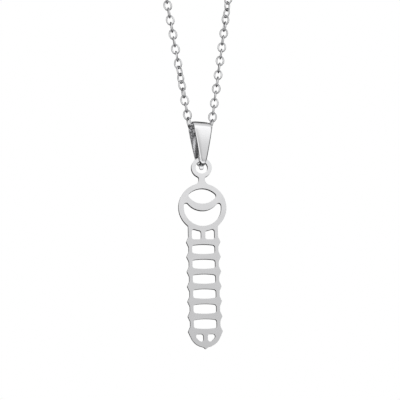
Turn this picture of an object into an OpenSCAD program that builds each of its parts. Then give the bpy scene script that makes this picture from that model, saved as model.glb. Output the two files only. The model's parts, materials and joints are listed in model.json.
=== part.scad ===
// Pendant necklace in polished steel: a fine cable chain hangs in a long loop, a tapered bail rides
// on the chain, and a pierced plate hangs from the bail. Millimetres, +Z up, front towards -Y.
// The origin is under the clasp at the top of the loop, where the loop hangs on a nape or a peg.

/* [Chain] */
// Length of the necklace measured round the loop, clasp included
chain_len = 450; // [400:10:600]
// Width of the cable chain over its links
chain_w = 1.6; // [1.2:0.1:1.8]
// Lean of each hanging side of the chain from the vertical, in degrees
side_lean = 9.5; // [7:0.5:14]

/* [Clasp] */
// Length of the clasp along the chain
clasp_len = 10; // [8:0.5:12]
// Width of the clasp's body
clasp_w = 4.4; // [4:0.1:5]
// Thickness of the clasp
clasp_t = 1.8; // [1.4:0.1:2.2]

/* [Bail] */
// Height of the bail from its top to its fold
bail_h = 9.3; // [8.5:0.1:10]
// Width of the bail across its top
bail_w = 4.1; // [3.8:0.1:4.4]
// Depth of the bail, front to back, at the chain
bail_d = 3.6; // [3.4:0.1:4]
// Width of the strip where it folds through the pendant's ring
fold_w = 1.2; // [1:0.05:1.3]
// Depth of the bail at the fold
fold_d = 2.9; // [2.7:0.05:3.1]
// Thickness of the bail's strip
strip_t = 0.4; // [0.3:0.05:0.45]

/* [Pendant] */
// Thickness of the pendant's plate
plate_t = 1; // [0.8:0.1:1.1]
// Turn of the plate about the vertical, out of the plane of the loop, in degrees
plate_turn = 15; // [0:1:20]
// Outer radius of the ring that the bail passes through
ring_r = 2.05; // [2:0.05:2.2]
// Radius of that ring's hole
hole_r = 1.25; // [1.15:0.05:1.3]
// Outer radius of the round that frames the crescent
round_r = 4.8; // [4.6:0.1:5]
// Width of the round's band
band = 1; // [0.9:0.1:1.3]
// Width of the crescent from tip to tip, where its tips run into the band
moon_w = 7.4; // [7:0.1:7.6]
// Number of windows in the ladder
windows = 6; // [4:1:8]
// Distance from one rung of the ladder to the next
rung_pitch = 2.95; // [2.7:0.05:3.2]

/* [Hidden] */
$fn = 64;
clearance = 0.1;
// How far a cutting or joining shape runs past its neighbour.
past = 0.5;

// The chain's tube: its links stand on edge where they pass through the bail, so it is slimmer there.
chain_sides = 8;
chain_r = chain_w / 2;
slim_r = 0.35;
slim_top = 2.5;
full_top = 5;
bend_r = 0.8;
bend_x = bail_w / 2 - slim_r - clearance / 2;
turn = 90 - side_lean;
side_x = bend_x + bend_r * sin(turn);
side_h = bend_r * (1 - cos(turn));

// The loop: a short run in the bail, two straight sides, and an arc over the top whose centre stands
// side_rise above the foot of the sides. The lengths of all four add up to chain_len.
arc_turn = PI * (1 + side_lean / 90);
side_rise = (chain_len - 2 * bend_x - 2 * bend_r * turn * PI / 180 + 2 * side_x * sin(side_lean)
    - side_x * cos(side_lean) * arc_turn) / (2 * cos(side_lean) + sin(side_lean) * arc_turn);
arc_r = side_x * cos(side_lean) + side_rise * sin(side_lean);
arc_h = side_h + side_rise;
side_len = side_rise * cos(side_lean) - side_x * sin(side_lean);
clasp_gap = 0.25;
arc_end = 90 - asin((clasp_len / 2 + clasp_gap) / arc_r);

// Heights above the chain in the bail: the bail's top and fold, and the centre of the ring. The flat
// strip touches the round hole at the edges of the turned plate, and the fold's curve lifts it there.
// The bail clears a link that stands on edge at every angle of its swing.
bail_room = 0.15;
bail_top = chain_r + bail_room + strip_t;
fold_h = bail_top - bail_h;
fold_in_r = fold_d / 2 - strip_t;
seat_y = (plate_t + fold_w * sin(plate_turn)) / 2 / cos(plate_turn);
seat_x = fold_w / 2 * cos(plate_turn) + seat_y * sin(plate_turn);
strip_seat = sqrt(hole_r * hole_r - seat_x * seat_x);
curve_rise = fold_in_r - sqrt(fold_in_r * fold_in_r - seat_y * seat_y);
ring_h = fold_h + strip_t + curve_rise - strip_seat + clearance;

// Heights of the chain's run in the bail and of the ring's centre in the object's own frame.
chain_z = clasp_t / 2 - arc_r - arc_h;
ring_z = chain_z + ring_h;

// The bail's shoulders, where the taper starts, and the straight stretch of strip at its fold.
shoulder_drop = 1.6;
shoulder_in = 0.12;
fold_straight = 0.5;

// The tip that closes the fold inside the ring's hole.
tip_w = 0.8;
tip_t = 0.36;
tip_drop = 0.65;

// The clasp: a round claw, an eye, and the claw's opening, which narrows towards the eye.
claw_r = clasp_w / 2;
claw_x = clasp_len / 2 - claw_r;
claw_band = 0.95;
mouth_r = 1.2;
mouth_len = 1.85;
mouth_x = clasp_len / 2 - claw_band - mouth_r;
mouth_low_r = 0.6;
mouth_low_x = mouth_x - mouth_len;
eye_r = 1.3;
eye_hole_r = 0.65;
nub_r = 0.6;
nub_back = 1.3;
nub_sink = 0.15;

// The pendant's plate, measured down from the centre of its ring.
neck_w = 1.2;
neck_flare = 1.2;
round_top = -3.3;
round_z = round_top - round_r;
moon_top = -5.2;
moon_in = -7.4;
moon_out = -8.8;
moon_tip_r = 0.32;
stem_w = 0.8;
rung_w = 1;
window_w = 4.6;
window_bow = 0.2;
rail_x = 2.95;
rail_top = round_z - 2.8;
lozenge_x = 3.4;
lozenge_h = 1;
top_pane = 2.2;
first_rung = round_z - round_r - top_pane;
last_rung = first_rung - windows * rung_pitch;
bowl = 3.1;
bowl_band = 0.9;
finial = 0.4;
fillet = 0.5;
soften = 0.25;
window_r = 0.45;

// One station of the loop: [x, height above the chain in the bail, heading, tube radius].
function tube_r(h) = slim_r + (chain_r - slim_r) * min(1, max(0, (h - slim_top) / (full_top - slim_top)));
function station(x, h, heading) = [x, h, heading, tube_r(h)];
function run_half() = [station(0, 0, 0), station(bend_x, 0, 0)];
function bend_half(n = 5) = [for (i = [1:n]) let (a = turn * i / n)
    station(bend_x + bend_r * sin(a), bend_r * (1 - cos(a)), a)];
function side_half(cuts) = [for (t = cuts)
    station(side_x + t * sin(side_lean), side_h + t * cos(side_lean), turn)];
function arc_half(n = 14) = [for (i = [0:n]) let (a = -side_lean + (arc_end + side_lean) * i / n)
    station(arc_r * cos(a), arc_h + arc_r * sin(a), a + 90)];
side_cuts = concat([2, 4.6], [for (i = [1:16]) side_len * i / 17]);
right_half = concat(run_half(), bend_half(), side_half(side_cuts), arc_half());
left_half = [for (i = [len(right_half) - 1:-1:1]) let (s = right_half[i]) [-s[0], s[1], -s[2], s[3]]];
route = concat(left_half, right_half);

// A tube swept along stations that all lie in the XZ plane.
module swept_tube(stations, sides) {
    last = len(stations) - 1;
    points = [for (s = stations, k = [0:sides - 1]) let (a = 360 * k / sides)
        [s[0] - s[3] * cos(a) * sin(s[2]), s[3] * sin(a), s[1] + s[3] * cos(a) * cos(s[2])]];
    walls = [for (i = [0:last - 1], k = [0:sides - 1], half = [0, 1]) let (
        a = i * sides + k, b = i * sides + (k + 1) % sides)
        half == 0 ? [a, b, b + sides] : [a, b + sides, a + sides]];
    start = [for (k = [1:sides - 2]) [0, k + 1, k]];
    end = [for (k = [1:sides - 2]) [last * sides, last * sides + k, last * sides + k + 1]];
    polyhedron(points = points, faces = concat(walls, start, end), convexity = 10);
}

module chain() {
    color("silver") translate([0, 0, chain_z]) swept_tube(route, chain_sides);
}

// Outline of a tapered capsule standing upright: radius r1 at height z1, and r2 below it at z2.
function capsule(r1, z1, r2, z2, n = 20) = let (lean = asin((r1 - r2) / (z1 - z2))) concat(
    [for (i = [0:n]) let (a = -lean + (180 + 2 * lean) * i / n) [r1 * cos(a), z1 + r1 * sin(a)]],
    [for (i = [0:n]) let (a = 180 + lean + (180 - 2 * lean) * i / n) [r2 * cos(a), z2 + r2 * sin(a)]]);

// The clasp lies flat on the nape: a closed claw with an opening for one end of the chain, an eye
// for the other, and a thumb nub on its side.
module clasp() {
    eye_x = eye_r - clasp_len / 2;
    color("silver") linear_extrude(clasp_t) difference() {
        union() {
            rotate(-90) polygon(capsule(claw_r, claw_x, eye_r, eye_x));
            translate([claw_x - nub_back, claw_r - nub_sink]) circle(nub_r);
        }
        translate([eye_x, 0]) circle(eye_hole_r);
        rotate(-90) polygon(capsule(mouth_r, mouth_x, mouth_low_r, mouth_low_x));
    }
}

// The bail's strip seen from the side: over the chain at the top, through the ring at the fold.
module bail_side() {
    top_r = bail_d / 2;
    low_r = fold_d / 2;
    difference() {
        polygon(capsule(top_r, bail_top - top_r, low_r, fold_h + low_r));
        polygon(capsule(top_r - strip_t, bail_top - top_r, low_r - strip_t, fold_h + low_r));
    }
}

// The strip seen from the front: full width where it turns over the chain, then an even taper.
module bail_front() {
    right = [[fold_w / 2, fold_h - past], [fold_w / 2, fold_h + fold_straight],
        [bail_w / 2 - shoulder_in, bail_top - shoulder_drop], [bail_w / 2, bail_top],
        [bail_w / 2, bail_top + past]];
    left = [for (i = [len(right) - 1:-1:0]) [-right[i][0], right[i][1]]];
    polygon(concat(right, left));
}

module bail() {
    color("gainsboro") translate([0, 0, chain_z]) {
        intersection() {
            rotate([90, 0, 90]) linear_extrude(bail_w + 2 * past, center = true) bail_side();
            rotate([90, 0, 0]) linear_extrude(bail_d + 2 * past, center = true) bail_front();
        }
        rotate([90, 0, 0]) linear_extrude(tip_t, center = true) {
            translate([-tip_w / 2, fold_h - tip_drop + tip_w / 2])
                square([tip_w, tip_drop + strip_t / 2 - tip_w / 2]);
            translate([0, fold_h - tip_drop + tip_w / 2]) circle(tip_w / 2);
        }
    }
}

// Radius of the circle that passes through (0, low) and (half, high).
function bowl_r(half, low, high) = (half * half + (high - low) * (high - low)) / (2 * (high - low));

// A crescent with rounded tips that lies on its back across the round.
module crescent() {
    half = moon_w / 2 - moon_tip_r;
    high = moon_top - moon_tip_r;
    outer = bowl_r(half, moon_out + moon_tip_r, high);
    inner = bowl_r(half, moon_in - moon_tip_r, high);
    offset(moon_tip_r, $fn = 32) difference() {
        translate([0, moon_out + moon_tip_r + outer]) circle(outer, $fn = 160);
        translate([0, moon_in - moon_tip_r + inner]) circle(inner, $fn = 160);
        translate([-moon_w, high]) square([2 * moon_w, 2 * outer]);
    }
}

// The ladder's outer shape: two straight rails with a soft point at each rung, which run up into the
// round, and half a round that closes them below the last rung.
module ladder_outline() {
    points = [for (i = [0:windows], step = [1, 0, -1])
        [step == 0 ? lozenge_x : rail_x, first_rung - i * rung_pitch + step * lozenge_h]];
    right = concat([[rail_x, rail_top]], points);
    polygon(concat(right, [for (i = [len(right) - 1:-1:0]) [-right[i][0], right[i][1]]]));
    translate([0, last_rung]) circle(bowl);
    translate([0, last_rung - bowl]) circle(finial, $fn = 4);
}

// A window between two rungs, with long sides that bow outwards.
module bowed_window() {
    half_w = window_w / 2;
    half_h = (rung_pitch - rung_w) / 2;
    bow_r = bowl_r(half_w, 0, window_bow);
    intersection() {
        square([window_w, 2 * half_h], center = true);
        translate([0, half_h - bow_r]) circle(bow_r, $fn = 320);
        translate([0, bow_r - half_h]) circle(bow_r, $fn = 320);
    }
}

// The two panes above the first rung, either side of a stem and under the round.
module top_panes() {
    low = first_rung + rung_w / 2;
    difference() {
        translate([-window_w / 2, low]) square([window_w, round_z - low]);
        translate([0, round_z]) circle(round_r);
        translate([-stem_w / 2, low]) square([stem_w, round_z - low]);
    }
}

// The two panes below the last rung, either side of a stem and inside the half round.
module low_panes() {
    difference() {
        translate([0, last_rung]) circle(bowl - bowl_band);
        translate([-bowl, last_rung - rung_w / 2]) square(2 * bowl);
        translate([-stem_w / 2, last_rung - bowl]) square([stem_w, bowl]);
    }
}

// Rounds the outer corners of what it is given by r.
module soft_corners(r) {
    offset(r, $fn = 32) offset(delta = -r) children();
}

// Fills the inner corners of what it is given with a fillet of radius r.
module filleted(r) {
    offset(-r, $fn = 32) offset(delta = r) children();
}

// The plate's outline with the round's opening, which the crescent crosses. The neck flares as it
// runs from the ring into the round.
module pendant_outline() {
    neck_low = round_top - band / 2;
    circle(ring_r, $fn = 120);
    crescent();
    difference() {
        union() {
            filleted(neck_flare) {
                translate([-neck_w / 2, neck_low]) square([neck_w, past - ring_r - neck_low]);
                translate([0, round_z]) circle(round_r, $fn = 128);
            }
            soft_corners(soften) ladder_outline();
        }
        translate([0, round_z]) circle(round_r - band, $fn = 128);
    }
}

module pendant() {
    color("gainsboro") translate([0, 0, ring_z]) rotate([90, 0, -plate_turn])
        linear_extrude(plate_t, center = true) difference() {
            filleted(fillet) pendant_outline();
            circle(hole_r);
            soft_corners(window_r) {
                top_panes();
                for (i = [0:windows - 1]) translate([0, first_rung - (i + 0.5) * rung_pitch]) bowed_window();
                low_panes();
            }
        }
}

chain();
clasp();
bail();
pendant();
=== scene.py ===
# Looks of a pendant necklace in polished steel: a fine cable chain with its clasp, a tapered bail
# that rides on the chain, and a pierced plate that hangs from the bail.
import json
import random
from math import acos, atan2, cos, pi, radians, sin

import bmesh
import bpy
from mathutils import Matrix, Quaternion, Vector


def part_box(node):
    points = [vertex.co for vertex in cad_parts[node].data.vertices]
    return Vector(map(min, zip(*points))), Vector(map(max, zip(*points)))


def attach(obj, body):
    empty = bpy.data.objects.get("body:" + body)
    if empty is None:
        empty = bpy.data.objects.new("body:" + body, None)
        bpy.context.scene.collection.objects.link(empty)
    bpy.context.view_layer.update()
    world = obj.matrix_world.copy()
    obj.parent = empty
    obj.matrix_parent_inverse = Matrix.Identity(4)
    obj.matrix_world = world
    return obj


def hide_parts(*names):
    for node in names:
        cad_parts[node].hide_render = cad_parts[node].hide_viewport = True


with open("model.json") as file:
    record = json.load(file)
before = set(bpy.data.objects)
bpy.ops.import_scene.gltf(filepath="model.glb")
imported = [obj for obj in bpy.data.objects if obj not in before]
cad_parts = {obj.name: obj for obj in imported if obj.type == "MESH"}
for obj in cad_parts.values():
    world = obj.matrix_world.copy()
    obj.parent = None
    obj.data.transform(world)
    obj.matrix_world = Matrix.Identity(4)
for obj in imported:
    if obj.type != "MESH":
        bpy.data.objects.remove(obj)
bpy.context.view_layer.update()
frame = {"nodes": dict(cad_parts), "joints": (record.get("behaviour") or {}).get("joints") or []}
mm = 0.001

# Camera: a long lens held low and to the left of the pendant, at the photograph's angle. The picture
# is 80 mm high at the plate, and it leans a little, because the real pendant hangs out of true.
view_azimuth = radians(-23)
view_elevation = radians(-11)
view_roll = radians(-1.4)
picture_height = 80 * mm
lens, sensor = 100, 36
aim = Vector((-0.45, 0, -216.9)) * mm
to_camera = Vector((sin(view_azimuth) * cos(view_elevation), -cos(view_azimuth) * cos(view_elevation),
                    sin(view_elevation)))
camera_data = bpy.data.cameras.new("camera")
camera_data.lens = lens
camera_data.sensor_width = sensor
camera_data.clip_start = 1 * mm
camera = bpy.data.objects.new("camera", camera_data)
camera.location = aim + to_camera * picture_height * lens / sensor
camera.rotation_mode = "QUATERNION"
camera.rotation_quaternion = to_camera.to_track_quat("Z", "Y") @ Quaternion((0, 0, 1), view_roll)
bpy.context.scene.collection.objects.link(camera)
bpy.context.scene.camera = camera

# Chain: 283 oval links of 0.36 mm steel wire, each closed round the one before it and turned a
# quarter from it, then tumbled bright. It hangs taut on both sides of the bail, from the clasp's ends.
wire = 0.36 * mm
link_width = 1.78 * mm
link_inside = 1.565 * mm
link_pitch = 1.54 * mm
link_steps, wire_sides = 12, 5
seat_start = 0.6

# One link, upright and flat to the front: a wire circle spun into a ring, which is drawn out to an oval.
# The seat attribute marks its two ends, where it hangs in its neighbours, for the painted shade in the
# steel's colour.
half_step = pi / link_steps
middle_radius = (link_width - wire) / 2 / cos(half_step)
draw = (link_inside + wire) / 2 / cos(half_step) - middle_radius
link = bmesh.new()
section = bmesh.ops.create_circle(link, segments=wire_sides, radius=wire / 2, matrix=Matrix.Rotation(
    half_step, 4, "Y") @ Matrix.Translation((middle_radius, 0, 0)))
bmesh.ops.spin(link, geom=section["verts"] + link.edges[:], cent=(0, 0, 0), axis=(0, 1, 0),
               angle=2 * pi, steps=link_steps, use_merge=True)
bmesh.ops.recalc_face_normals(link, faces=link.faces)
seat = link.verts.layers.float.new("seat")
for vert in link.verts:
    vert[seat] = max(0, abs(vert.co.z) / middle_radius - seat_start) / (1 - seat_start)
    vert.co.z += draw * vert.co.z / Vector((vert.co.x, vert.co.z)).length
for face in link.faces:
    face.smooth = True
link_mesh = bpy.data.meshes.new("link")
link.to_mesh(link_mesh)
link.free()

# Where the links meet. The middle link lies in the bail, and the next one leaves it on either side.
# These three have slid a little to the left. From the second on, the links follow the straight side of
# the loop and then its arc over the nape.
swing = next(joint for joint in frame["joints"] if joint["name"] == "bail_swing")
run_z = swing["pos_m"][2]
side_lean = radians(9.5)
foot = Vector((2.44 * mm, 0, run_z + 0.67 * mm))
clasp_low, clasp_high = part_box("clasp")
nape_z = (clasp_low.z + clasp_high.z) / 2
arc_radius = (foot.x * cos(side_lean) + (nape_z - foot.z) * sin(side_lean)) / (1 + sin(side_lean))
arc_z = nape_z - arc_radius
side_length = (arc_z - foot.z) * cos(side_lean) - foot.x * sin(side_lean)
in_bail = Vector((0.77 * mm, 0, run_z - 0.06 * mm))
at_mouth = Vector((2.26 * mm, 0, run_z + 0.34 * mm))
first_on_side = 1.18 * mm
slid = Vector((-0.05 * mm, 0, 0))
end_ring_x = {-1: 6.53 * mm, 1: 6.23 * mm}


def side_point(run):
    """Point on the loop's right half, run metres along it from the foot of its straight side."""
    if run < side_length:
        return foot + Vector((sin(side_lean), 0, cos(side_lean))) * run
    turned = (run - side_length) / arc_radius - side_lean
    return Vector((arc_radius * cos(turned), 0, arc_z + arc_radius * sin(turned)))


# The chain is wound a quarter turn over seven links: from the fifth one up on the left in view, and
# from the fifteenth on the right. Out of view it takes another where its last link wouldn't lie flat.
winding_starts = {-1: 5, 1: 15}
winding_links = 7

# On both sides all links are turned a little, and each sways, but for the first three and the last two.
# The middle link (0) and the next two on either side of it lean over, to clear the bail's strip.
whole_turn = radians(6)
most_sway = 5
leans = {0: radians(-66), 1: radians(-66), 2: radians(15)}
sway = random.Random(3)


def link_turn(side, number, last):
    """Turn of a side's link about its own length, in radians, from flat to the camera."""
    start = winding_starts[side]
    seen = min(1, max(0, (number - start) / winding_links))
    left_over = (last + 1) % 2
    hidden = min(1, max(0, (number - start - winding_links) / (last - start - winding_links)))
    free = radians(sway.uniform(-most_sway, most_sway)) if 3 < number < last - 1 else 0
    wound = radians(90) * (number + 1 + seen + left_over * hidden)
    return wound + whole_turn + free + leans.get(number, 0)


def hang_link(chain, start, end, turn):
    """Adds a link to the chain between the places of two joints, turned about the line through them."""
    along = (end - start).normalized()
    facing = Vector((sin(view_azimuth), -cos(view_azimuth), 0))
    across = facing.cross(along).normalized()
    across.rotate(Quaternion(along, turn))
    place = Matrix((across, along.cross(across), along)).transposed().to_4x4()
    placed = link_mesh.copy()
    placed.transform(Matrix.Translation((start + end) / 2) @ place)
    chain.from_mesh(placed)
    bpy.data.meshes.remove(placed)


chain = bmesh.new()
hang_link(chain, slid + in_bail * Vector((-1, 1, 1)), slid + in_bail, radians(90) + leans[0])
for side in (-1, 1):
    last_run = side_length + arc_radius * (acos(end_ring_x[side] / arc_radius) + side_lean)
    count = round((last_run - first_on_side) / link_pitch)
    step = (last_run - first_on_side) / count
    joints = [in_bail + slid * side, at_mouth + slid * side]
    joints += [side_point(first_on_side + step * i) for i in range(count + 1)]
    joints = [Vector((side * joint.x, joint.y, joint.z)) for joint in joints]
    for number in range(1, len(joints)):
        turn = link_turn(side, number, len(joints) - 1)
        hang_link(chain, joints[number - 1], joints[number], turn)
bpy.data.meshes.remove(link_mesh)


def make_group(name, inputs, outputs):
    """A shader node group with float or vector inputs, given as (name, kind, value), and outputs."""
    group = bpy.data.node_groups.new(name, "ShaderNodeTree")
    for label, kind, value in inputs:
        socket = group.interface.new_socket(label, in_out="INPUT", socket_type="NodeSocket" + kind)
        if value is not None:
            socket.default_value = value
    for label, kind in outputs:
        group.interface.new_socket(label, in_out="OUTPUT", socket_type="NodeSocket" + kind)
    return group, group.nodes.new("NodeGroupInput"), group.nodes.new("NodeGroupOutput")


def add_node(tree, kind, values=None, **settings):
    """A node of the given kind, with its settings, and with values set on its inputs by name or place."""
    node = tree.nodes.new("ShaderNode" + kind)
    for key, value in settings.items():
        setattr(node, key, value)
    for socket, value in (values or {}).items():
        node.inputs[socket].default_value = value
    return node


# Fine lines left by drawing or rolling the steel: noise that is drawn out along Z.
drawn_lines, given, result = make_group(
    "drawn_lines",
    [("Vector", "Vector", None), ("Lines per metre", "Float", 8000), ("Length", "Float", 20)],
    [("Lines", "Float")])
split = add_node(drawn_lines, "SeparateXYZ")
drawn_out = add_node(drawn_lines, "Math", operation="DIVIDE")
joined = add_node(drawn_lines, "CombineXYZ")
grain = add_node(drawn_lines, "TexNoise", {"Detail": 4, "Roughness": 0.6})
spread = add_node(drawn_lines, "MapRange", {"From Min": 0.3, "From Max": 0.7})
drawn_lines.links.new(given.outputs["Vector"], split.inputs[0])
drawn_lines.links.new(split.outputs["X"], joined.inputs["X"])
drawn_lines.links.new(split.outputs["Y"], joined.inputs["Y"])
drawn_lines.links.new(split.outputs["Z"], drawn_out.inputs[0])
drawn_lines.links.new(given.outputs["Length"], drawn_out.inputs[1])
drawn_lines.links.new(drawn_out.outputs[0], joined.inputs["Z"])
drawn_lines.links.new(joined.outputs[0], grain.inputs["Vector"])
drawn_lines.links.new(given.outputs["Lines per metre"], grain.inputs["Scale"])
drawn_lines.links.new(grain.outputs["Fac"], spread.inputs["Value"])
drawn_lines.links.new(spread.outputs[0], result.inputs["Lines"])

# Handling: soft smudges, and sparse hair scratches, which run where a drawn-out noise has its middle
# level.
handling, given, result = make_group(
    "handling",
    [("Vector", "Vector", None), ("Smudge size", "Float", 3 * mm), ("Scratches", "Float", 0.5)],
    [("Smudge", "Float"), ("Scratch", "Float")])
per_metre = add_node(handling, "Math", {0: 1.0}, operation="DIVIDE")
clouds = add_node(handling, "TexNoise", {"Detail": 3, "Roughness": 0.55})
cloud_range = add_node(handling, "MapRange", {"From Min": 0.4, "From Max": 0.68},
                       interpolation_type="SMOOTHSTEP")
tilted = add_node(handling, "Mapping", {"Rotation": (0.3, radians(37), 0.2), "Scale": (1, 1, 0.06)})
hairs = add_node(handling, "TexNoise", {"Scale": 5000, "Detail": 1})
off_level = add_node(handling, "Math", {1: 0.5}, operation="SUBTRACT")
distance = add_node(handling, "Math", operation="ABSOLUTE")
thin = add_node(handling, "MapRange", {"From Min": 0.0, "From Max": 0.012, "To Min": 1, "To Max": 0})
strength = add_node(handling, "Math", operation="MULTIPLY")
handling.links.new(given.outputs["Smudge size"], per_metre.inputs[1])
handling.links.new(given.outputs["Vector"], clouds.inputs["Vector"])
handling.links.new(per_metre.outputs[0], clouds.inputs["Scale"])
handling.links.new(clouds.outputs["Fac"], cloud_range.inputs["Value"])
handling.links.new(cloud_range.outputs[0], result.inputs["Smudge"])
handling.links.new(given.outputs["Vector"], tilted.inputs["Vector"])
handling.links.new(tilted.outputs[0], hairs.inputs["Vector"])
handling.links.new(hairs.outputs["Fac"], off_level.inputs[0])
handling.links.new(off_level.outputs[0], distance.inputs[0])
handling.links.new(distance.outputs[0], thin.inputs["Value"])
handling.links.new(thin.outputs[0], strength.inputs[0])
handling.links.new(given.outputs["Scratches"], strength.inputs[1])
handling.links.new(strength.outputs[0], result.inputs["Scratch"])


def start_steel(name):
    """A steel material's tree, its shader and its Object coordinates."""
    steel = bpy.data.materials.new(name)
    steel.use_nodes = True
    tree = steel.node_tree
    shader = tree.nodes["Principled BSDF"]
    shader.inputs["Metallic"].default_value = 1
    return steel, tree, shader, add_node(tree, "TexCoord").outputs["Object"]


def place_group(tree, group, where, **values):
    """A shader node group in a material, fed with coordinates and its own values."""
    node = tree.nodes.new("ShaderNodeGroup")
    node.node_tree = group
    tree.links.new(where, node.inputs["Vector"])
    for label, value in values.items():
        node.inputs[label.replace("_", " ")].default_value = value
    return node


def between(tree, socket, low, high, shader_input):
    """Feeds a shader's number from low to high as a mask goes from 0 to 1."""
    ramp = add_node(tree, "MapRange", {"To Min": low, "To Max": high})
    tree.links.new(socket, ramp.inputs["Value"])
    tree.links.new(ramp.outputs[0], shader_input)


def shade_between(tree, socket, low, high, shader):
    """Feeds the shader's colour from one grey to another as a mask goes from 0 to 1."""
    mix = add_node(tree, "Mix", data_type="RGBA")
    mix.inputs["A"].default_value = (*low, 1)
    mix.inputs["B"].default_value = (*high, 1)
    tree.links.new(socket, mix.inputs["Factor"])
    tree.links.new(mix.outputs["Result"], shader.inputs["Base Color"])


def emboss(tree, socket, depth, shader, under=None):
    """Feeds the shader's normal from a height mask, its depth in metres, over another bump or none."""
    bump = add_node(tree, "Bump", {"Strength": 1, "Distance": depth})
    tree.links.new(socket, bump.inputs["Height"])
    if under:
        tree.links.new(under.outputs["Normal"], bump.inputs["Normal"])
    tree.links.new(bump.outputs["Normal"], shader.inputs["Normal"])
    return bump


# Chain steel: bright drawn wire with fine die lines, tumbled bright. Its colour is painted darker at the
# seats, from 0.74 grey on the open sides to 0.36, as painted shade where the links cover each other.
chain_steel, tree, shader, where = start_steel("chain_steel")
die_lines = place_group(tree, drawn_lines, where, Lines_per_metre=12000, Length=3)
painted_seat_shade = add_node(tree, "Attribute", attribute_name="seat")
shade_between(tree, painted_seat_shade.outputs["Fac"], (0.74, 0.74, 0.75), (0.36, 0.36, 0.37), shader)
between(tree, die_lines.outputs["Lines"], 0.03, 0.08, shader.inputs["Roughness"])
emboss(tree, die_lines.outputs["Lines"], 0.002 * mm, shader)


def make_piece(made, name, body, slot, *finishes):
    """Turns a bmesh into a piece that rides on a body, with its finishes in the mesh's own order."""
    mesh = bpy.data.meshes.new(name)
    made.to_mesh(mesh)
    made.free()
    for finish in finishes:
        mesh.materials.append(finish)
    piece = bpy.data.objects.new(name, mesh)
    bpy.context.scene.collection.objects.link(piece)
    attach(piece, body)
    return piece


chain_piece = make_piece(chain, "chain_links", "root", "chain_steel", chain_steel)
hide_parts("chain")

# End rings: two soldered rings of 0.45 mm wire. One ties the chain's left end to the clasp's eye, and
# the claw catches the other one on the chain's right end.
ring_wire = 0.45 * mm
ring_radius = 1.325 * mm
ring_droop = radians(17)
ring_hold_x = {-1: -4.1 * mm, 1: 3.8 * mm}
for side, name in ((-1, "eye_ring"), (1, "catch_ring")):
    ring = bmesh.new()
    section = bmesh.ops.create_circle(ring, segments=10, radius=ring_wire / 2,
                                      matrix=Matrix.Translation((ring_radius, 0, 0)))
    bmesh.ops.spin(ring, geom=section["verts"] + ring.edges[:], cent=(0, 0, 0), axis=(0, 1, 0),
                   angle=2 * pi, steps=40, use_merge=True)
    bmesh.ops.recalc_face_normals(ring, faces=ring.faces)
    centre = Vector((ring_hold_x[side] + side * ring_radius * cos(ring_droop), 0,
                     nape_z - ring_radius * sin(ring_droop)))
    bmesh.ops.translate(ring, vec=centre, verts=ring.verts)
    for face in ring.faces:
        face.smooth = True
    make_piece(ring, name, "root", "chain_steel", chain_steel)


# Clasp: a small cast claw that lies flat on the nape, tumbled until every edge is round. Its body is
# thickest at the claw's hinge and thins towards the eye and towards the claw's end.
def take_node(name):
    """A node's shape as a bmesh: merged, each flat face whole, and without the normals stored with it."""
    mesh = frame["nodes"][name].data.copy()
    mesh.attributes.remove(mesh.attributes["custom_normal"])
    made = bmesh.new()
    made.from_mesh(mesh)
    bpy.data.meshes.remove(mesh)
    bmesh.ops.remove_doubles(made, verts=made.verts, dist=0.001 * mm)
    bmesh.ops.dissolve_limit(made, angle_limit=radians(1), verts=made.verts, edges=made.edges)
    return made


clasp = take_node("clasp")
eye_taper_start, eye_taper_length, eye_thinned = 0.5 * mm, 3.2 * mm, 0.5
claw_taper_start, claw_taper_length, claw_thinned = 1.5 * mm, 3 * mm, 0.35


def smooth_step(share):
    """Goes from 0 to 1 as share does, with no corner at either end."""
    share = min(1, max(0, share))
    return share * share * (3 - 2 * share)


def clasp_thickness(x):
    """Share of the clasp's full thickness at a place along it."""
    towards_eye = smooth_step((eye_taper_start - x) / eye_taper_length)
    towards_end = smooth_step((x - claw_taper_start) / claw_taper_length)
    return 1 - eye_thinned * towards_eye - claw_thinned * towards_end


# Cuts across the clasp let its flat sides follow that thickness.
row_count = 26
for row in range(1, row_count):
    x = clasp_low.x + (clasp_high.x - clasp_low.x) * row / row_count
    bmesh.ops.bisect_plane(clasp, geom=clasp.verts[:] + clasp.edges[:] + clasp.faces[:],
                           plane_co=(x, 0, 0), plane_no=(1, 0, 0))
rims = [edge for edge in clasp.edges if len(edge.link_faces) == 2
        and {round(abs(face.normal.z)) for face in edge.link_faces} == {0, 1}]
for vert in clasp.verts:
    vert.co.z = nape_z + (vert.co.z - nape_z) * clasp_thickness(vert.co.x)
bmesh.ops.bevel(clasp, geom=rims, offset=0.24 * mm, offset_type="OFFSET", segments=4, profile=0.5,
                affect="EDGES", material=-1, clamp_overlap=True)
for face in clasp.faces:
    face.smooth = True

# Clasp steel: cast steel after tumbling, with a faint orange-peel skin and softer gloss in patches.
clasp_steel, tree, shader, where = start_steel("clasp_steel")
shader.inputs["Base Color"].default_value = (0.82, 0.82, 0.83, 1)
touched = place_group(tree, handling, where, Smudge_size=1.5 * mm, Scratches=0.4)
skin = add_node(tree, "TexNoise", {"Scale": 2500, "Detail": 2})
tree.links.new(where, skin.inputs["Vector"])
between(tree, touched.outputs["Smudge"], 0.12, 0.2, shader.inputs["Roughness"])
emboss(tree, touched.outputs["Scratch"], 0.001 * mm, shader,
       under=emboss(tree, skin.outputs["Fac"], 0.006 * mm, shader))
clasp_piece = make_piece(clasp, "clasp_claw", "root", "clasp_steel", clasp_steel)
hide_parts("clasp")

# Bail: a strip of 0.4 mm steel, cut as a long double taper, polished, and folded over the chain and
# through the pendant's ring. A small rounded tip closes the fold and hangs inside the ring.
strip = 0.4 * mm
bail_low, bail_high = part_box("bail")
top_radius = (bail_high.y - bail_low.y) / 2
top_z = bail_high.z - top_radius
fold_radius = 1.45 * mm
tip_drop = 0.65 * mm
fold_z = bail_low.z + tip_drop + fold_radius
leaf_crown = 0.12 * mm

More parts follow.
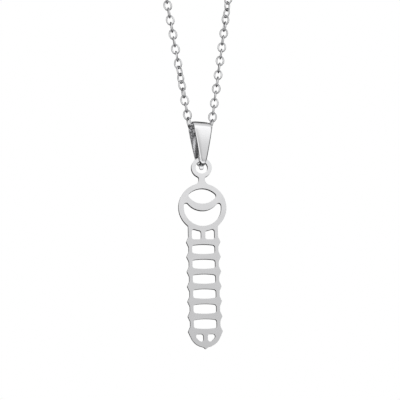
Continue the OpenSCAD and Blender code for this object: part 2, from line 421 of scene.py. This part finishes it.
# The strip's outline from the side: a circle whose lower half is drawn down and made smaller. The
# leaves between the two halves are crowned a little, as a pressed strip is.
leaf_cuts = 14
bail = bmesh.new()
bmesh.ops.create_circle(bail, segments=48, radius=top_radius, matrix=Matrix.Translation(
    (0, 0, top_z)) @ Matrix.Rotation(radians(90), 4, "Y"))
lower = [vert for vert in bail.verts if vert.co.z < top_z - 0.01 * mm]
bmesh.ops.scale(bail, vec=(1, fold_radius / top_radius, fold_radius / top_radius), verts=lower,
                space=Matrix.Translation((0, 0, -top_z)))
bmesh.ops.translate(bail, vec=(0, 0, fold_z - top_z), verts=lower)
leaves = [edge for edge in bail.edges if edge.calc_length() > (top_z - fold_z) / 2]
cut = bmesh.ops.subdivide_edges(bail, edges=leaves, cuts=leaf_cuts)
for vert in cut["geom_inner"]:
    if isinstance(vert, bmesh.types.BMVert):
        share = (top_z - vert.co.z) / (top_z - fold_z)
        vert.co.y += (leaf_crown if vert.co.y > 0 else -leaf_crown) * sin(pi * share)

# Half of the strip's width by height: widest where it turns over the chain, then an even taper to the
# fold.
taper = ((bail_high.z, 2.05 * mm), (bail_high.z - 1.6 * mm, 1.93 * mm),
         (bail_low.z + tip_drop + 0.5 * mm, 0.6 * mm), (bail_low.z, 0.6 * mm))


def half_width(z):
    """Half of the strip's width at a height."""
    for (high, wide), (low, narrow) in zip(taper, taper[1:]):
        if z >= low:
            return narrow + (wide - narrow) * (z - low) / (high - low)
    return taper[-1][1]


def outwards(place):
    """Direction away from the middle of the bail's loop."""
    middle_z = min(max(place.z, fold_z), top_z)
    return Vector((0, place.y, place.z - middle_z)).normalized()


# Polishing rolled the outer side over towards its long edges, most of all round the fold. The inner
# side stayed flat, with its edges only broken.
leaf_roll, fold_roll, columns = 0.16 * mm, 0.3 * mm, 12
outer_round, inner_round = 0.1 * mm, 0.04 * mm
edge_angle = radians(50)
mostly = 0.7
drawn = bmesh.ops.extrude_edge_only(bail, edges=bail.edges[:])
right_side = {item for item in drawn["geom"] if isinstance(item, bmesh.types.BMVert)}
for vert in bail.verts:
    vert.co.x = half_width(vert.co.z) * (1 if vert in right_side else -1)
across = [edge for edge in bail.edges if edge.verts[0].co.x * edge.verts[1].co.x < 0]
bmesh.ops.subdivide_edges(bail, edges=across, cuts=columns - 1)
bmesh.ops.recalc_face_normals(bail, faces=bail.faces)
outer_side = bail.verts[:]
bmesh.ops.solidify(bail, geom=bail.faces[:], thickness=strip)
for vert in outer_side:
    off_middle = abs(vert.co.x) / half_width(vert.co.z)
    turned = max(0, fold_z - vert.co.z) / fold_radius
    roll = leaf_roll * off_middle ** 4 + (fold_roll - leaf_roll) * turned * off_middle ** 2
    vert.co -= outwards(vert.co) * roll
bail.normal_update()
sharp = [edge for edge in bail.edges if len(edge.link_faces) == 2 and edge.calc_face_angle() > edge_angle]
outer = [edge for edge in sharp
         if any(face.normal.dot(outwards(face.calc_center_median())) > mostly for face in edge.link_faces)]
inner = [edge for edge in sharp if edge not in outer]
bmesh.ops.bevel(bail, geom=outer, offset=outer_round, offset_type="OFFSET", segments=4, profile=0.5,
                affect="EDGES", material=-1, clamp_overlap=True)
bmesh.ops.bevel(bail, geom=[edge for edge in inner if edge.is_valid], offset=inner_round,
                offset_type="OFFSET", segments=2, profile=0.5, affect="EDGES", material=-1,
                clamp_overlap=True)

# The tip: a small tongue with a round end and soft edges, which leans back a little.
tip_size = Vector((0.85, 0.34, 0.9)) * mm
tip_centre = Vector((0, 0, bail_low.z + tip_size.z / 2))
tip_lean = radians(-4)
tip_round, tip_soft = 0.36 * mm, 0.13 * mm
strip_faces = set(bail.faces)
tip = bmesh.ops.create_cube(bail, size=1, matrix=Matrix.Translation(tip_centre) @ Matrix.Rotation(
    tip_lean, 4, "X") @ Matrix.Diagonal(tip_size).to_4x4())
low_edges = {edge for vert in tip["verts"] for edge in vert.link_edges
             if all(end.co.z < tip_centre.z for end in edge.verts)}
corners = [edge for edge in low_edges if edge.verts[0].co.y * edge.verts[1].co.y < 0]
bmesh.ops.bevel(bail, geom=corners, offset=tip_round, offset_type="OFFSET", segments=5, profile=0.5,
                affect="EDGES", material=-1, clamp_overlap=True)
rims = {edge for face in bail.faces if face not in strip_faces for edge in face.edges
        if edge.calc_face_angle() > edge_angle}
bmesh.ops.bevel(bail, geom=list(rims), offset=tip_soft, offset_type="OFFSET", segments=3, profile=0.5,
                affect="EDGES", material=-1, clamp_overlap=True)
bail.normal_update()
for face in bail.faces:
    face.smooth = True
    face.material_index = 1 if face.normal.dot(outwards(face.calc_center_median())) < -mostly else 0

# Bail steel: mirror-polished strip. Rolling left faint lines along it, and fingers a few smudges.
bail_steel, tree, shader, where = start_steel("bail_steel")
shader.inputs["Base Color"].default_value = (0.84, 0.84, 0.85, 1)
touched = place_group(tree, handling, where, Smudge_size=2 * mm, Scratches=0.5)
rolled = place_group(tree, drawn_lines, where, Lines_per_metre=7000, Length=30)
between(tree, touched.outputs["Smudge"], 0.07, 0.14, shader.inputs["Roughness"])
emboss(tree, touched.outputs["Scratch"], 0.0003 * mm, shader,
       under=emboss(tree, rolled.outputs["Lines"], 0.0005 * mm, shader))

# Bail inside: the wheel doesn't reach in here, so the strip keeps its mill finish. Its colour is painted a
# little lighter than the outer steel's, as painted light in the shaded inside of the loop.
bail_inside, tree, shader, where = start_steel("bail_inside")
shader.inputs["Base Color"].default_value = (0.87, 0.87, 0.88, 1)
milled = place_group(tree, drawn_lines, where, Lines_per_metre=9000, Length=25)
between(tree, milled.outputs["Lines"], 0.07, 0.14, shader.inputs["Roughness"])
bail_piece = make_piece(bail, "bail_strip", "bail", "bail_steel", bail_steel, bail_inside)
bail_piece.data.set_sharp_from_angle(angle=radians(40))
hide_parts("bail")

# Pendant: a plate of 1 mm sheet steel, cut out by laser with its ring and neck in one piece, its
# faces polished like a mirror and its edges barely broken. The cut walls keep the laser's fine ribs.
# It swings in its own plane, so its hinge's axis runs straight through the sheet.
hinge = next(joint for joint in frame["joints"] if joint["name"] == "pendant_swing")
through = Vector(hinge["axis"])
plate = take_node("pendant")
rims = [edge for edge in plate.edges if len(edge.link_faces) == 2
        and {round(abs(face.normal.dot(through))) for face in edge.link_faces} == {0, 1}]
bmesh.ops.bevel(plate, geom=rims, offset=0.06 * mm, offset_type="OFFSET", segments=2, profile=0.5,
                affect="EDGES", material=-1, clamp_overlap=True)
plate.normal_update()

# Faces that look straight along the hinge's axis are the polished ones, and stay flat. Those that look
# across it are the cut walls.
straight, crosswise = 0.99, 0.2
for face in plate.faces:
    along_axis = abs(face.normal.dot(through))
    face.smooth = along_axis < straight
    face.material_index = 1 if along_axis < crosswise else 0
for edge in plate.edges:
    edge.smooth = edge.calc_face_angle() < edge_angle

# Plate steel: mirror polish on sheet that isn't quite flat, with smudges and hair scratches.
plate_steel, tree, shader, where = start_steel("plate_steel")
shader.inputs["Base Color"].default_value = (0.84, 0.84, 0.85, 1)
touched = place_group(tree, handling, where, Smudge_size=3 * mm, Scratches=0.6)
waves = add_node(tree, "TexNoise", {"Scale": 220, "Detail": 1})
tree.links.new(where, waves.inputs["Vector"])
between(tree, touched.outputs["Smudge"], 0.05, 0.12, shader.inputs["Roughness"])
emboss(tree, touched.outputs["Scratch"], 0.0005 * mm, shader,
       under=emboss(tree, waves.outputs["Fac"], 0.03 * mm, shader))

# Cut edge: the plate's walls, dull, with ribs that run straight through the sheet. Their colour is painted
# nearly black, with the edge tint dimmed so they stay dark also where they are seen at a slant: painted
# shade.
cut_edge, tree, shader, where = start_steel("cut_edge")
shader.inputs["Base Color"].default_value = (0.15, 0.15, 0.155, 1)
shader.inputs["Specular Tint"].default_value = (0.3, 0.3, 0.3, 1)
plate_turn = atan2(through.x, through.y)
on_end = add_node(tree, "Mapping", {"Rotation": (radians(90), -plate_turn, 0)})
tree.links.new(where, on_end.inputs["Vector"])
ribs = place_group(tree, drawn_lines, on_end.outputs[0], Lines_per_metre=9000, Length=40)
between(tree, ribs.outputs["Lines"], 0.18, 0.34, shader.inputs["Roughness"])
emboss(tree, ribs.outputs["Lines"], 0.004 * mm, shader)
plate_piece = make_piece(plate, "pendant_plate", "pendant", "plate_steel", plate_steel, cut_edge)
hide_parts("pendant")

# Floor: a pale studio floor, far below the hanging pendant, which the steel doesn't mirror.
floor_z = -1.1
floor_half = 20
sheet = bmesh.new()
bmesh.ops.create_grid(sheet, x_segments=1, y_segments=1, size=floor_half,
                      matrix=Matrix.Translation((0, 0, floor_z)))
floor_data = bpy.data.meshes.new("floor")
sheet.to_mesh(floor_data)
sheet.free()
paper = bpy.data.materials.new("paper")
paper.use_nodes = True
shader = paper.node_tree.nodes["Principled BSDF"]
shader.inputs["Base Color"].default_value = (0.9, 0.9, 0.9, 1)
shader.inputs["Roughness"].default_value = 0.9
floor_data.materials.append(paper)
floor = bpy.data.objects.new("floor", floor_data)
bpy.context.scene.collection.objects.link(floor)
floor.visible_glossy = False

# Light: a white studio. What the steel mirrors is set by height, in degrees from the front horizon over
# the top and down behind: a softbox high in front, a dimmer ceiling, dark behind and below, and a
# bright card low in front.
studio = ((0, 0.58), (4, 0.64), (9, 0.73), (13, 0.9), (17, 1.15), (45, 1.2), (56, 0.85), (90, 0.65),
          (97, 0.5), (110, 0.05), (210, 0.04), (285, 0.05), (298, 1.15), (315, 1.15), (325, 0.42),
          (350, 0.42), (360, 0.58))
world = bpy.data.worlds.new("studio")
bpy.context.scene.world = world
world.use_nodes = True
sky = world.node_tree
sky.nodes.clear()
direction = add_node(sky, "TexCoord")
axes = add_node(sky, "SeparateXYZ")
sky.links.new(direction.outputs["Generated"], axes.inputs[0])
front = add_node(sky, "Math", {1: -1.0}, operation="MULTIPLY")
sky.links.new(axes.outputs["Y"], front.inputs[0])


def ramp_round(across, start, stops):
    """A ramp of (degrees, level, share) stops by the angle from the front to an axis, from start on."""
    angle = add_node(sky, "Math", operation="ARCTAN2")
    sky.links.new(axes.outputs[across], angle.inputs[0])
    sky.links.new(front.outputs[0], angle.inputs[1])
    turned = add_node(sky, "MapRange", {"From Min": radians(start), "From Max": radians(start + 360)})
    wrapped = add_node(sky, "Math", {1: radians(start + 360), 2: radians(start)}, operation="WRAP")
    sky.links.new(angle.outputs[0], wrapped.inputs[0])
    sky.links.new(wrapped.outputs[0], turned.inputs["Value"])
    ramp = add_node(sky, "ValToRGB")
    marks = ramp.color_ramp.elements
    while len(marks) < len(stops):
        marks.new(0.5)
    for mark, (degrees, level, share) in zip(marks, stops):
        mark.position = (degrees - start) / 360
        mark.color = (level, level, level, share)
    sky.links.new(turned.outputs[0], ramp.inputs["Fac"])
    return ramp


over = ramp_round("Z", 0, [(degrees, level, 1) for degrees, level in studio])

# Round the horizon stand, from behind on the left: a dark curtain, a tall softbox, a gap straight in
# front, a weak fill on the right, a black flag, and the curtain again.
screens = ((-180, 0.2, 1), (-155, 0.1, 1), (-108, 0.06, 1), (-78, 1.15, 1), (-24, 1.15, 1), (-12, 1.15, 0),
           (6, 1.05, 0), (20, 1.05, 0.3), (44, 1.05, 0.3), (62, 0.06, 1), (155, 0.1, 1), (180, 0.2, 1))
around = ramp_round("X", -180, screens)
steep = add_node(sky, "Math", operation="ABSOLUTE")
sky.links.new(axes.outputs["Z"], steep.inputs[0])
level_with = add_node(sky, "MapRange", {"From Min": 0.45, "From Max": 0.65, "To Min": 1, "To Max": 0},
                      interpolation_type="SMOOTHSTEP")
sky.links.new(steep.outputs[0], level_with.inputs["Value"])
screen = add_node(sky, "Math", operation="MULTIPLY")
sky.links.new(around.outputs["Alpha"], screen.inputs[0])
sky.links.new(level_with.outputs[0], screen.inputs[1])
hung = add_node(sky, "Mix", data_type="RGBA")
sky.links.new(screen.outputs[0], hung.inputs["Factor"])
sky.links.new(over.outputs["Color"], hung.inputs["A"])
sky.links.new(around.outputs["Color"], hung.inputs["B"])

# Behind and below the horizon stands a grey card, so that the backs of the plate and bail aren't black.
# Its middle and half its height are given as the Z of a direction.
card_level, card_middle, card_half = 0.5, -0.4, 0.19
card = ramp_round("X", -180, [(degrees, card_level, share) for degrees, share in (
    (-180, 1), (-120, 1), (-105, 0), (60, 0), (75, 1), (180, 1))])
on_card = add_node(sky, "Math", {1: card_middle, 2: card_half}, operation="COMPARE")
sky.links.new(axes.outputs["Z"], on_card.inputs[0])
card_share = add_node(sky, "Math", operation="MULTIPLY")
sky.links.new(card.outputs["Alpha"], card_share.inputs[0])
sky.links.new(on_card.outputs[0], card_share.inputs[1])
with_card = add_node(sky, "Mix", data_type="RGBA")
sky.links.new(card_share.outputs[0], with_card.inputs["Factor"])
sky.links.new(hung.outputs["Result"], with_card.inputs["A"])
sky.links.new(card.outputs["Color"], with_card.inputs["B"])

# The camera and the floor see plain white instead.
mirrored = add_node(sky, "Background")
sky.links.new(with_card.outputs["Result"], mirrored.inputs["Color"])
white = add_node(sky, "Background")
white.inputs["Color"].default_value = (1, 1, 1, 1)
seen = add_node(sky, "LightPath")
plain = add_node(sky, "Math", operation="MAXIMUM")
sky.links.new(seen.outputs["Is Camera Ray"], plain.inputs[0])
sky.links.new(seen.outputs["Is Diffuse Ray"], plain.inputs[1])
choice = add_node(sky, "MixShader")
sky.links.new(plain.outputs[0], choice.inputs["Fac"])
sky.links.new(mirrored.outputs[0], choice.inputs[1])
sky.links.new(white.outputs[0], choice.inputs[2])
out = add_node(sky, "OutputWorld")
sky.links.new(choice.outputs[0], out.inputs["Surface"])
bpy.context.scene.view_settings.view_transform = "Standard"

# A soft lamp high in front, which lights the floor and stays out of the steel.
lamp_data = bpy.data.lights.new("lamp", "AREA")
lamp_data.size = 1.2
lamp_data.energy = 12
lamp = bpy.data.objects.new("lamp", lamp_data)
lamp.location = (-0.3, -0.6, 1.0)
lamp.rotation_mode = "QUATERNION"
lamp.rotation_quaternion = (lamp.location - aim).to_track_quat("Z", "Y")
lamp.visible_glossy = False
bpy.context.scene.collection.objects.link(lamp)
